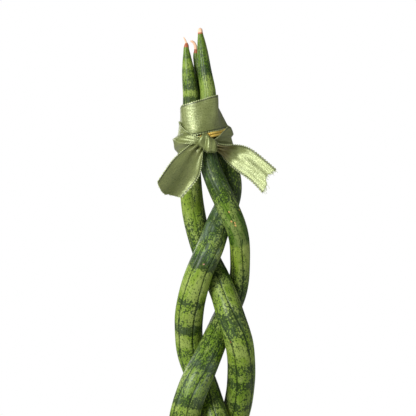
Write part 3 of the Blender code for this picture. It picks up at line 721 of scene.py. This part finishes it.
def skin_wax_and_sheen(s, color, patch, streak):
    """Grey wax in streaks, as strong as the leaf's bloom; its stronger streaks are painted sheen of the
    key light's highlight.
    """
    wax_and_sheen = s.times(s.ease(streak, 0.38, 0.68, 0.1, 1), s.ease(patch, 0.4, 0.65, 0.3, 1))
    return s.mix(s.times(wax_and_sheen, s.attribute("bloom")), color, WAX_AND_SHEEN_GREY)


def skin_furrows(s, color, place, mottle):
    """Dark lines in the furrows, ragged at their sides and broken along the leaf."""
    line = s.total((mottle, 0.7), base=s.attribute("furrow"))
    along = s.noise(s.stretch(place, (0, 0, 0.22)), 1.0, 2)
    furrow = s.times(s.ease(line, 0.5, 1.1, 1, 0), s.attribute("mark"))
    furrow = s.times(furrow, s.ease(along, 0.35, 0.58, 0.35, 0.92))
    return s.mix(furrow, color, FURROW_GREEN)


def skin_scars(s, color, place, speck, scars):
    """Small ragged spots, each with its own hue."""
    for centre, radius, hue in scars:
        away = s.node("ShaderNodeVectorMath", {0: place, 1: centre}, 1, operation="DISTANCE")
        away = s.total((speck, 0.9), base=away)
        color = s.mix(s.ease(away, radius + 0.3, radius + 0.8, 0.9, 0), color, SCAR_COLORS[hue])
    return color


def leaf_surface(name, scars):
    """Green skin, mottled in bands, with dark furrows, waxy grey that is partly painted sheen, and a dry
    tip.
    """
    s = Surface(name + "_skin", Coat_Weight=0.14, Coat_Roughness=0.3, Specular_IOR_Level=0.1)
    place = s.attribute("leaf_space", "Vector")
    patch = s.noise(s.stretch(place, (1, 1, 0.6), (31, 7, 3)), 0.15, 3)
    coarse = s.noise(s.stretch(place, (1, 1, 0.7)), 0.3, 3, 0.6)
    fine = s.noise(s.stretch(place, (1, 1, 0.85), (5, 19, 2)), 0.86, 2.5, 0.6)
    mottle = s.total((coarse, 0.6), (fine, 1.2), base=-0.4)
    speck = s.noise(s.stretch(place, (1, 1, 0.7), (9, 4, 17)), 0.95, 2, 0.5)
    streak = s.noise(s.stretch(place, (1, 1, 0.05)), 1.7, 3)
    color = skin_green(s, place, patch, streak)
    color = skin_bands(s, color, place, patch, mottle, speck)
    color = skin_wax_and_sheen(s, color, patch, streak)
    color = skin_furrows(s, color, place, mottle)
    color = skin_scars(s, color, place, speck, scars)
    dry = s.vary(s.attribute("dry"), speck, 0.8)
    color = s.mix(s.ease(dry, 0.3, 0.6), color, DRY_BROWN)
    color = s.mix(s.ease(dry, 1.2, 1.7), color, DRY_PALE)
    height = s.total((speck, 0.5), (streak, 0.6))
    return s.finish(color, s.ease(mottle, 0.3, 0.7, 0.36, 0.5), height, 0.14, 0.6)


def skin_ring(ribs):
    """Where the skin is on the straight rod, after a number of ribs from the first furrow."""
    turn = 2 * math.pi * ribs / LEAF_RIBS
    return SKIN_RADIUS * math.cos(turn), SKIN_RADIUS * math.sin(turn)


def find_scars(name, places, heights, furrows):
    """Each scar's middle on the straight rod, with its radius and hue."""
    scars = []
    for height, facing, radius, hue in LEAVES[name]["scars"]:
        row = int(np.argmin(np.abs(heights - height)))
        ribs = np.interp(math.radians(facing), furrows[row], np.arange(LEAF_RIBS + 1))
        scars.append(((*skin_ring(ribs), places[row]), radius, hue))
    return scars


def ring_values(name, places, heights):
    """What the skin's material reads along the leaf."""
    leaf = LEAVES[name]
    pale, brown = leaf["dry"]
    dry = 1 - blend(brown - BROWN_EDGE, brown + BROWN_EDGE, places)
    dry = dry + 1 - blend(pale - PALE_EDGE, pale + PALE_EDGE, places)
    return {"tone": steady_curve(leaf["tones"], heights)[0],
            "bloom": steady_curve(leaf["bloom"], heights)[0],
            "mark": steady_curve(leaf["furrows"], heights)[2],
            "dry": dry}


def leaf_swell(places, seed):
    """How much wider or narrower than its own width a leaf grew along it."""
    swell = 1.0
    for k, (size, wave) in enumerate(SWELLINGS, 1):
        swell = swell + size * np.sin(places / wave + k * seed)
    return swell


def rib_radius(share, edge, diameters, depth, swell):
    """Radius of the skin at a share across a rib: high in its middle and low in the furrows."""
    crown = 1 - RIB_CROWN * (1 - math.sin(math.pi * share)) ** 2
    groove = GROOVE_DEPTH * depth * np.exp(-(edge / GROOVE_WIDTH) ** 2)
    return diameters / 2 * crown * swell - groove


def make_leaf(name, seed):
    """One leaf: a rod with six ribs and a narrow furrow between each two."""
    places, centres, diameters = leaf_path(name)
    heights = centres[:, 2]
    along = unit(np.gradient(centres, places, axis=0))
    side = unit(np.cross(along, FRONT))
    front = np.cross(side, along)
    furrows = furrow_angles(name, heights)
    cover = band_cover(name, heights, np.random.default_rng(seed))
    rings = ring_values(name, places, heights)
    depth = (0.15 + 0.85 * rings["mark"]) * np.clip(diameters / FULL_GROOVE_DIAMETER, 0.1, 1)
    swell = leaf_swell(places, seed)
    grid = {"points": [], "leaf_space": [], "band": [], "furrow": []}
    for rib in range(LEAF_RIBS):
        wide = furrows[:, rib + 1] - furrows[:, rib]
        for share in RIB_SHARES:
            angle = furrows[:, rib] + wide * share
            edge = min(share, 1 - share) * wide * diameters / 2
            radius = rib_radius(share, edge, diameters, depth, swell)
            out = np.cos(angle)[:, None] * side + np.sin(angle)[:, None] * front
            ring = np.broadcast_to(skin_ring(rib + share), (len(places), 2))
            grid["points"].append(centres + radius[:, None] * out)
            grid["leaf_space"].append(np.column_stack([ring, places]))
            grid["band"].append(cover[:, rib])
            grid["furrow"].append(edge)
    values = {key: np.stack(value, axis=1) for key, value in grid.items()}
    points = values.pop("points")
    values.update({key: np.repeat(value, LEAF_COLUMNS) for key, value in rings.items()})
    surface = leaf_surface(name, find_scars(name, places, heights, furrows))
    faces = rod_faces(len(places), LEAF_COLUMNS)
    make_piece(name + "_skin", points, faces, surface, name, values)


# The ribbon and the cord

WRAP_FACINGS = np.radians(np.arange(0, 360, 1.5))
SATIN_DARK = (88, 98, 47)
SATIN_LIGHT = (140, 150, 87)
PAINTED_SHADE_BROWN = (84, 66, 26)
SELVAGE_AND_SHADE_DARK = (30, 36, 14)
SELVAGE_LIGHT = (186, 198, 138)


def wrapped(angles, heights, offsets):
    """Points of a cloth drawn tight round the leaves.

    An angle is the point's own, about the winding's axis, and an offset is how far outside the
    leaves the cloth lies.
    """
    heights = np.broadcast_to(heights, angles.shape)
    offsets = np.broadcast_to(offsets, angles.shape)
    facings = np.stack([np.cos(WRAP_FACINGS), np.sin(WRAP_FACINGS)])
    reach = np.full((len(heights), len(WRAP_FACINGS)), -1e9)
    for name in LEAVES:
        centre = ROUTE[name](heights) - WRAP_AXIS
        slope = ROUTE[name](heights + 0.5) - ROUTE[name](heights - 0.5)
        radius = WIDTH[name](heights) / 2
        reach = np.maximum(reach, centre @ facings + radius * np.sqrt(1 + (slope @ facings) ** 2))
    lean = np.cos(WRAP_FACINGS[None, :] - angles[:, None])
    away = np.where(lean > 0.05, (reach + offsets[:, None]) / np.maximum(lean, 0.05), 1e9)
    radius = away.min(axis=1)
    return np.column_stack([WRAP_AXIS[0] + radius * np.cos(angles),
                            WRAP_AXIS[1] + radius * np.sin(angles), heights])


def collar_height(share, across):
    """Height of the upper turn, from its lower edge (0) to its upper edge (1)."""
    rise = RIBBON_WIDTH * math.sqrt(1 + RIBBON_SLANT ** 2)
    return COLLAR_LEVEL + (share - 0.5) * rise + RIBBON_SLANT * across


def cord_height(across):
    """Middle height of the two turns of cord, just under the upper turn of the ribbon."""
    return collar_height(0.0, across) - CORD_GAP - (CORD_WIDTH + CORD_PITCH) / 2


def loose(turned, share):
    """How far the upper turn stands off the leaves; the bulge leans to the left at its top."""
    place = np.clip(turned - LOOSE_LEAN * (share - 0.5), LOOSE_CLOTH[-1][0], LOOSE_CLOTH[0][0])
    return smooth_curve(LOOSE_CLOTH)(place)[:, 0]


def left_folds(turned, share, width):
    """The lower turn's start on the left: over the upper turn, creased and fanned into the knot."""
    below = np.clip((CREASE_SHARE - share) / CREASE_SHARE, 0, 1)
    above = np.clip((share - CREASE_SHARE) / (1 - CREASE_SHARE), 0, 1)
    lift = loose(turned + 360, 0.2) * (1 - 0.35 * below)
    rise = smooth_curve(CREASE_RISE)(np.clip(turned, 0, CREASE_RISE[-1][0]))[:, 0]
    lift += rise * (1 - above - 0.15 * below)
    crest = CREST * math.exp(-abs(share - CREASE_SHARE) / CREST_SHARE)
    edge = BAND_FLARE[0] * np.exp(-(1 - share) * width / BAND_FLARE[1])
    fan = FAN_DEPTH * above ** 0.5 * np.sin(2 * math.pi * FAN_FOLDS * above)
    fan = fan * (1 - blend(*FAN_END, turned))
    return lift + (1 - blend(*LEFT_FOLDS_END, turned)) * (crest + edge) + fan


def right_folds(turned, height):
    """The lower turn's end on the right: a sharp crease with a lip under it."""
    valley = -VALLEY[0] * np.exp(-((height - FOLD_HEIGHT) / VALLEY[1]) ** 2)
    lip = LIP[0] * np.exp(-((height - FOLD_HEIGHT + LIP_DROP) / LIP[1]) ** 2)
    return blend(*RIGHT_FOLDS_START, turned) * (valley + lip)


def wrap_relief(turned, share, points, width):
    """How far the cord below and the cloth's own folds lift the winding."""
    rise = points[:, 2] - cord_height(points[:, 0])
    over_cord = 1 - blend(*CORD_END, turned) + blend(*CORD_AGAIN_START, turned)
    relief = (1 - blend(*CORD_LIFT_REACH, np.abs(rise))) * over_cord * CORD_LIFT
    free = (1 - over_cord) * (1 - 0.9 * blend(*COLLAR_FLARE_END, turned))
    relief += free * COLLAR_FLARE[0] * np.exp(-share * width / COLLAR_FLARE[1])
    relief += loose(turned, share) + left_folds(turned, share, width)
    relief += right_folds(turned, points[:, 2])
    relief += blend(*TUCK_START, turned) * TUCK_DEPTH * np.sin(2 * math.pi * TUCK_FOLDS * share)
    for high, long, lean in RIPPLES:
        relief += high * np.sin(turned / long + lean * share)
    return relief


def wrap_points(turned, share):
    """The winding's surface, for degrees turned and a share across its width."""
    middle, width, slant, layer = smooth_curve(RIBBON_WRAP)(turned).T
    angles = np.radians(WRAP_START - turned)
    level = middle + (share - 0.5) * width
    offsets = RIBBON_GAP + np.maximum(layer, 0)
    points = wrapped(angles, level, offsets)
    for _ in range(3):
        points = wrapped(angles, level + slant * points[:, 0], offsets)
    return wrapped(angles, points[:, 2], offsets + wrap_relief(turned, share, points, width))


def satin():
    """Satin woven lengthwise, with fine threads, a pale loop edge and a dark line beside it that is partly
    the edge's own darker weave and partly painted shade, darkest between the loops.
    """
    s = Surface("olive_satin", Metallic=0.34, Sheen_Weight=0.06, Sheen_Roughness=0.4,
                Specular_IOR_Level=0.85)
    place = s.attribute("cloth_space", "Vector")
    thread = s.noise(s.stretch(place, (0.12, 1.6, 1)), 1.0, 3, 0.6)
    cross = s.noise(s.stretch(place, (1.2, 1.0, 1), (7, 3, 0)), 1.0, 3, 0.65)
    cloud = s.noise(place, 0.12, 3)
    level = s.total((cross, 0.45), (thread, 0.3), (cloud, 0.25))
    color = s.ramp(level, [(0.34, SATIN_DARK), (0.66, SATIN_LIGHT)])
    # Painted shade: the satin beside the knot is mixed towards a dark brown.
    color = s.mix(s.attribute("painted_shade"), color, PAINTED_SHADE_BROWN)
    loop = s.node("ShaderNodeSeparateXYZ", {0: place})
    loop = s.math("SINE", s.times(loop, math.pi / TOOTH_PITCH))
    loop = s.ease(s.math("ABSOLUTE", loop), 0.35, 0.8)
    edge = s.attribute("edge")
    line = s.times(s.ease(edge, 0.1, 0.35), s.ease(edge, 0.9, 1.5, 1, 0))
    # Darker between the loops: painted shade of the gaps between them.
    line = s.times(line, s.total((loop, -0.35), base=0.95))
    color = s.mix(line, color, SELVAGE_AND_SHADE_DARK)
    color = s.mix(s.times(s.ease(edge, 0.1, 0.5, 0.85, 0), loop), color, SELVAGE_LIGHT)
    height = s.total((thread, 0.35), base=cross)
    return s.finish(color, s.ease(cross, 0.35, 0.65, 0.27, 0.5), height, 0.21, 0.85)


def make_cloth(name, points, along, surface, painted_shade=0.0):
    """A ribbon piece from a grid of points, with the places of its columns along the ribbon."""
    loops = blend(0.2, 0.7, np.abs(np.sin(np.pi * along / TOOTH_PITCH)))
    for edge, inner in ((0, 1), (-1, -2)):
        away = unit(points[edge] - points[inner])
        points[edge] = points[inner] + away * TOOTH_LENGTH * loops[:, None]
    places, across = np.meshgrid(along, CLOTH_SHARES * RIBBON_WIDTH)
    values = {"cloth_space": np.stack([places, across, np.zeros_like(across)], axis=-1),
              "edge": np.minimum(across, RIBBON_WIDTH - across),
              "painted_shade": np.broadcast_to(painted_shade, across.shape)}
    piece = make_piece(name, points, grid_faces(*across.shape), surface, "ribbon", values)
    thickness = piece.modifiers.new("thickness", "SOLIDIFY")
    thickness.thickness = CLOTH_THICK * MM
    thickness.offset = 0.0


def make_wrap(surface):
    """The two turns round the leaves, as one strip that rises and falls at the back."""
    fine = np.linspace(0, RIBBON_WRAP[-1][0], WRAP_STATIONS)
    length = distances(wrap_points(fine, 0.5))
    along = np.linspace(0, length[-1], round(length[-1] / CLOTH_STEP))
    turned = np.interp(along, length, fine)
    points = np.stack([wrap_points(turned, share) for share in CLOTH_SHARES])
    make_cloth("ribbon_wrap", points, along, surface)


def line_grid(lines, shares, guide):
    """A cloth's points on the smooth surface through lines at some shares of its width.

    They come with their places along the guide, which is one of the lines.
    """
    length = distances(guide)[-1]
    along = np.linspace(0, length, round(length / CLOTH_STEP))
    stations = np.arange(len(guide))
    steps = np.linspace(0, stations[-1], len(along))
    nodes = [smooth_curve(np.column_stack([stations, line]))(steps) for line in lines]
    table = np.column_stack([shares, np.reshape(nodes, (len(lines), -1))])
    return smooth_curve(table)(CLOTH_SHARES).reshape(CLOTH_ROWS, len(along), 3), along


def tail_lines(tail):
    """The lines along a tail as points, from its two edges and its depths."""
    lines = []
    for share, depth in zip(TAIL_LINES, tail["depth"]):
        flat = (1 - share) * np.array(tail["upper"]) + share * np.array(tail["lower"])
        lines.append(np.column_stack([flat[:, 0], depth, flat[:, 1]]))
    return lines


def make_tail(side, surface):
    """One tail, gathered at the knot and cut unevenly at its end."""
    tail = TAILS[side]
    lines = tail_lines(tail)
    points, along = line_grid(lines, TAIL_LINES, lines[1])
    ends = 1 + steady_curve(tail["cut"], CLOTH_SHARES)[0] / along[-1]
    for row, end in enumerate(ends):
        for axis in range(3):
            points[row, :, axis] = np.interp(along * end, along, points[row, :, axis])
    wide = np.linalg.norm(points[-1] - points[0], axis=1)
    spare = np.sqrt(np.clip(RIBBON_WIDTH ** 2 - wide ** 2, 0, None)) / (4 * TAIL_FOLDS)
    gathered = np.exp(-(along / GATHER_LENGTH) ** 2)
    deep = spare * (GATHER_LEFT + (1 - GATHER_LEFT) * gathered)
    folds = deep * np.sin(2 * math.pi * TAIL_FOLDS * CLOTH_SHARES[:, None])
    waves = 0.1 * np.sin(along / 3.1 + 4 * CLOTH_SHARES[:, None])
    points = points + grid_normals(points) * (folds + waves)[..., None]
    # Painted shade, strongest at the knot and gone further along the tail.
    painted_shade = tail["painted_shade"] * (1 - blend(*PAINTED_SHADE_END, along))
    make_cloth("ribbon_tail_" + side, points, along, surface, painted_shade)
    return points


def make_fray(ends, surface, rng):
    """Loose threads at the two cut ends."""
    lines = []
    for side, points in ends.items():
        for row in rng.integers(2, len(points) - 2, FRAY_THREADS):
            out = unit(points[row, -1] - points[row, -8])
            bend = rng.normal(0, THREAD_BEND, 3)
            reach = THREAD_REACH + TAILS[side]["fray"] * (0.1 + rng.uniform() ** 3)
            steps = np.linspace(-0.3, 1, THREAD_STATIONS)[:, None] * reach
            lines.append(points[row, -1] + steps * (out + bend * steps / 2))
    points, faces = tubes(lines, THREAD_RADIUS, THREAD_SIDES)
    loop_top = np.broadcast_to((TOOTH_PITCH / 2, 0, 0), points.shape)
    values = {"cloth_space": loop_top, "edge": np.zeros(len(points))}
    make_piece("ribbon_fray", points, faces, surface, "ribbon", values)


def make_knot(surface):
    """The knot: the ribbon gathered in pleats and drawn over itself."""
    shares = np.linspace(0, 1, len(KNOT_LINES))
    points, along = line_grid(KNOT_LINES, shares, KNOT_LINES[len(KNOT_LINES) // 2])
    normal = grid_normals(points)
    normal *= np.where(normal[..., 1:2] > 0, -1, 1)
    pleats = PLEAT_DEPTH * np.sin(2 * math.pi * PLEATS * CLOTH_SHARES[:, None] + along / 9)
    points = points + normal * pleats[..., None]
    make_cloth("ribbon_knot", points, along, surface)


def cord_centre():
    """The cord's middle line: two turns that step up a turn at the back."""
    turned = np.arange(0, CORD_TURNED, CORD_STEP)
    lift = CORD_PITCH * (blend(*CORD_STEP_UP, turned) - 0.5)
    heights = CORD_LEVEL
    for _ in range(CORD_ROUNDS):
        points = wrapped(np.radians(CORD_START + turned), heights, CORD_CLEARANCE + CORD_WIDTH / 2)
        heights = cord_height(points[:, 0]) + lift
    return points


def make_cord(surface):
    """A gold cord of three twisted strands."""
    centre = cord_centre()
    along = unit(np.gradient(centre, axis=0))
    outward = unit(np.cross(along, UP))
    upward = np.cross(outward, along)
    lines = []
    for strand in range(STRANDS):
        twist = 2 * math.pi * (distances(centre) / STRAND_PITCH + strand / STRANDS)
        away = np.cos(twist)[:, None] * outward + np.sin(twist)[:, None] * upward
        lines.append(centre + STRAND_OFFSET * away)
    points, faces = tubes(lines, STRAND_RADIUS, STRAND_SIDES)
    make_piece("gold_cord", points, faces, surface, "gold_tie")


def gold():
    s = Surface("gold_thread", Metallic=0.2)
    grain = s.noise(s.place(), 2600, 3, 0.6)
    color = s.ramp(grain, [(0.38, (226, 162, 30)), (0.58, (255, 240, 132))])
    return s.finish(color, s.ease(grain, 0.3, 0.7, 0.25, 0.45), grain, 0.2, 0.8)


# The pot and the soil

def rounded(corners):
    """An outline with each corner, given as radius, height and rounding, turned into an arc."""
    outline = []
    for k, (r, z, rounding) in enumerate(corners):
        here = np.array([r, z], float)
        before = unit(np.array(corners[k - 1][:2], float) - here)
        after = unit(np.array(corners[(k + 1) % len(corners)][:2], float) - here)
        for part in np.arange(ARC_STEPS + 1) / ARC_STEPS:
            near = (1 - part) ** 2 * before + part ** 2 * after
            outline.append(tuple(here + rounding * near))
    return outline


def densified(outline, gap):
    """The same closed outline with points no further apart than the gap."""
    dense = []
    for here, after in zip(outline, outline[1:] + outline[:1]):
        parts = max(1, math.ceil(math.dist(here, after) / gap))
        for k in range(parts):
            share = k / parts
            dense.append(tuple((1 - share) * h + share * a for h, a in zip(here, after)))
    return dense


def terracotta():
    s = Surface("terracotta_clay", Roughness=0.85)
    place = s.place()
    grain = s.noise(place, 900, 4, 0.7)
    rings = s.noise(s.stretch(place, (3, 3, 420)), 1.0, 3)
    bloom = s.noise(s.stretch(place, (1, 1, 0.7), (0.3, 0.1, 0.9)), 34, 5, 0.65)
    level = s.total((s.noise(place, 22, 5, 0.6), 0.6), (grain, 0.4))
    color = s.ramp(level, [(0.3, (168, 92, 58)), (0.5, (190, 110, 72)), (0.7, (206, 130, 92))])
    color = s.mix(s.ease(bloom, 0.45, 0.85, 0, 0.4), color, (222, 194, 174))
    height = s.total((grain, 0.5), (rings, 0.7))
    return s.finish(color, s.ease(grain, 0.3, 0.7, 0.75, 0.95), height, 0.25, 0.5)


def pot_inner_radius(height):
    """Radius of the pot's inside wall at a height."""
    low = POT_BASE_RADIUS - POT_WALL
    high = POT_RADIUS - POT_WALL
    return low + (high - low) * height / POT_HEIGHT


def make_pot():
    """The pot: its outline turned about Z."""
    collar_foot = POT_HEIGHT - POT_COLLAR_HEIGHT
    collar = POT_RADIUS - POT_COLLAR_TAPER
    corners = [
        (DRAIN_RADIUS, 0, 0.8), (POT_BASE_RADIUS, 0, 1.6), (collar - POT_COLLAR_STEP, collar_foot, 0.9),
        (collar, collar_foot, 1.5), (POT_RADIUS, POT_HEIGHT, 1.9),
        (pot_inner_radius(POT_HEIGHT), POT_HEIGHT, 1.7), (pot_inner_radius(POT_WALL), POT_WALL, 2.5),
        (DRAIN_RADIUS, POT_WALL, 0.8),
    ]
    outline = np.array(densified(rounded(corners), POT_RING_GAP))
    points = ring_grid(outline[:, 0], outline[:, 1:], around(POT_SIDES))
    closing = np.array(grid_faces(len(outline) + 1, POT_SIDES, closed=True))
    faces = (closing % (len(outline) * POT_SIDES)).tolist()
    make_piece("clay_pot", points, faces, terracotta(), "pot")


def soil_height(x, y):
    """The soil's gently lumpy top."""
    lumps = np.sin(0.21 * x + 0.4) * np.cos(0.17 * y - 0.3)
    lumps = lumps + 0.6 * np.sin(0.37 * y + 0.23 * x + 1.1)
    return SOIL_LEVEL + SOIL_RELIEF * lumps / 1.6


def soil_surface():
    s = Surface("potting_soil", Roughness=0.95)
    level = s.total((s.noise(s.place(), 420, 5, 0.7), 0.6), (s.noise(s.place(), 1500, 3, 0.6), 0.4))
    color = s.ramp(level, [(0.35, (38, 28, 21)), (0.55, (70, 52, 38)), (0.7, (104, 80, 58))])
    return s.finish(color, None, level, 1.2, 1.0)


def make_soil(rng):
    """The soil's fill, with a rough top."""
    top_radius = pot_inner_radius(SOIL_LEVEL) - 0.3
    angles = around(SOIL_SIDES)
    radii = np.linspace(0.5, top_radius, SOIL_RINGS)
    x, y, _ = np.moveaxis(ring_grid(radii, 0.0, angles), -1, 0)
    waves = rng.uniform((0.6, 0.6, 0, 0, 0.1), (3.2, 3.2, 6, 6, 0.28), (SOIL_WAVES, 5))
    rough = sum(np.sin(x * a + p) * np.cos(y * b + q) * size for a, b, p, q, size in waves)
    inner = blend(top_radius, top_radius - 2.5, radii)[:, None]
    top = ring_grid(radii, soil_height(x, y) + rough * inner - 0.4, angles)
    floor = POT_WALL + 0.3
    bottom = ring_grid(np.array([pot_inner_radius(floor) - 0.3]), floor, angles)
    faces = rod_faces(SOIL_RINGS + 1, SOIL_SIDES)
    make_piece("soil_fill", np.concatenate([top, bottom]), faces, soil_surface(), "soil")


def crumb_shape():
    """A twelve-cornered lump as unit points and triangles."""
    tilt = math.atan(0.5)
    flat = np.array([math.cos(tilt)])
    upper = ring_grid(flat, math.sin(tilt), around(5))[0]
    lower = ring_grid(flat, -math.sin(tilt), around(5) + math.pi / 5)[0]
    faces = []
    for k in range(5):
        after = (k + 1) % 5
        faces += [(k, after, 10), (k, k + 5, after), (after, k + 5, after + 5),
                  (k + 5, 11, after + 5)]
    return np.vstack([upper, lower, UP, -UP]), np.array(faces)


def crumb_surface():
    s = Surface("soil_crumb", Roughness=0.9)
    grain = s.noise(s.place(), 1300, 4, 0.6)
    color = s.ramp(s.attribute("shade"), [(0.0, (40, 29, 22)), (0.6, (74, 54, 38)),
                                          (0.9, (118, 86, 58)), (0.985, (132, 104, 76)),
                                          (1.0, (196, 184, 164))])
    color = s.mix(s.ease(grain, 0.3, 0.7, 0.45, 0), color, (28, 20, 15))
    return s.finish(color, None, grain, 0.4, 0.9)


def make_crumbs(rng):
    """Loose bits of bark, peat and grit that lie on the soil."""
    shape, triangles = crumb_shape()
    top_radius = pot_inner_radius(SOIL_LEVEL) - 2.0
    feet = [(ROUTE[name](SOIL_LEVEL), WIDTH[name](SOIL_LEVEL)[0] / 2) for name in LEAVES]
    lumps = []
    shades = []
    while len(lumps) < CRUMBS:
        x, y = rng.uniform(-top_radius, top_radius, 2)
        size = rng.uniform(0.35, 1.0) ** 2 * CRUMB_SIZE
        inside = any(math.dist((x, y), centre) < radius for centre, radius in feet)
        if math.hypot(x, y) > top_radius - size or inside:
            continue
        stretch = size * rng.uniform(*CRUMB_STRETCH)
        turn = rng.uniform(0, 2 * np.pi)
        cos, sin = math.cos(turn), math.sin(turn)
        lump = shape * rng.uniform(0.75, 1.2, (len(shape), 1)) * stretch
        lump = lump @ np.array([[cos, sin, 0], [-sin, cos, 0], [0, 0, 1]])
        lump[:, 2] += lump[:, :2] @ rng.uniform(-0.35, 0.35, 2)
        lumps.append(lump + (x, y, soil_height(x, y) + 0.25 * size))
        shades.append(rng.uniform())
    faces = triangles + len(shape) * np.arange(CRUMBS)[:, None, None]
    values = {"shade": np.repeat(shades, len(shape))}
    make_piece("soil_crumbs", np.stack(lumps), faces.reshape(-1, 3).tolist(), crumb_surface(),
               "soil", values)


# The stage, the lights and the camera

def make_floor():
    """A pale round floor that fades out at its edge."""
    points = ring_grid(FLOOR_RINGS, 0.0, around(FLOOR_SIDES))
    faces = grid_faces(len(FLOOR_RINGS), FLOOR_SIDES, closed=True) + [list(range(FLOOR_SIDES))]
    mesh = bpy.data.meshes.new("floor")
    mesh.from_pydata(points.reshape(-1, 3) * MM, [], faces)
    floor = add_object("floor", mesh)
    s = Surface("pale_floor", Roughness=0.8)
    away = s.node("ShaderNodeVectorMath", {0: s.place()}, 1, operation="LENGTH")
    color = s.ramp(s.noise(s.place(), 60, 3), [(0.3, (238, 237, 235)), (0.7, (241, 240, 238))])
    s.feed(s.shader.inputs["Alpha"], s.ease(away, 0.6, 1.0, 1, 0))
    mesh.materials.append(s.finish(color))


def make_light(name, place, target, size, power, color):
    lamp = bpy.data.lights.new(name, "AREA")
    lamp.shape = "RECTANGLE"
    lamp.size, lamp.size_y = size
    lamp.energy = power
    lamp.color = color
    holder = add_object(name, lamp)
    holder.location = place
    holder.rotation_mode = "QUATERNION"
    aim = Vector(target) - Vector(place)
    holder.rotation_quaternion = aim.to_track_quat("-Z", "Y")


def make_world():
    """White behind everything, and a softer white for what lights and mirrors."""
    world = bpy.data.worlds.new("studio")
    bpy.context.scene.world = world
    world.use_nodes = True
    tree = world.node_tree
    tree.nodes.clear()
    mix = tree.nodes.new("ShaderNodeMixShader")
    for socket, strength in ((1, AMBIENT), (2, 1.0)):
        white = tree.nodes.new("ShaderNodeBackground")
        white.inputs[0].default_value = (1, 1, 1, 1)
        white.inputs[1].default_value = strength
        tree.links.new(white.outputs[0], mix.inputs[socket])
    path = tree.nodes.new("ShaderNodeLightPath")
    output = tree.nodes.new("ShaderNodeOutputWorld")
    tree.links.new(path.outputs["Is Camera Ray"], mix.inputs[0])
    tree.links.new(mix.outputs[0], output.inputs[0])


def make_camera():
    data = bpy.data.cameras.new("camera")
    data.sensor_width = SENSOR_WIDTH
    data.lens = SENSOR_WIDTH * CAMERA_DISTANCE / VIEW_WIDTH
    camera = add_object("camera", data)
    camera.location = (VIEW_CENTRE[0] * MM, -CAMERA_DISTANCE * MM, VIEW_CENTRE[1] * MM)
    camera.rotation_euler = (math.pi / 2, 0, 0)
    bpy.context.scene.camera = camera


def main():
    make_camera()
    make_world()
    make_floor()
    for name, light in LIGHTS.items():
        make_light(name, *light)
    for seed, name in enumerate(LEAVES, SEED):
        make_leaf(name, seed)
    rng = np.random.default_rng(SEED)
    cloth = satin()
    make_wrap(cloth)
    make_knot(cloth)
    ends = {side: make_tail(side, cloth) for side in TAILS}
    make_fray(ends, cloth, rng)
    make_cord(gold())
    make_pot()
    make_soil(rng)
    make_crumbs(rng)
    bpy.context.scene.view_settings.view_transform = "Standard"


main()
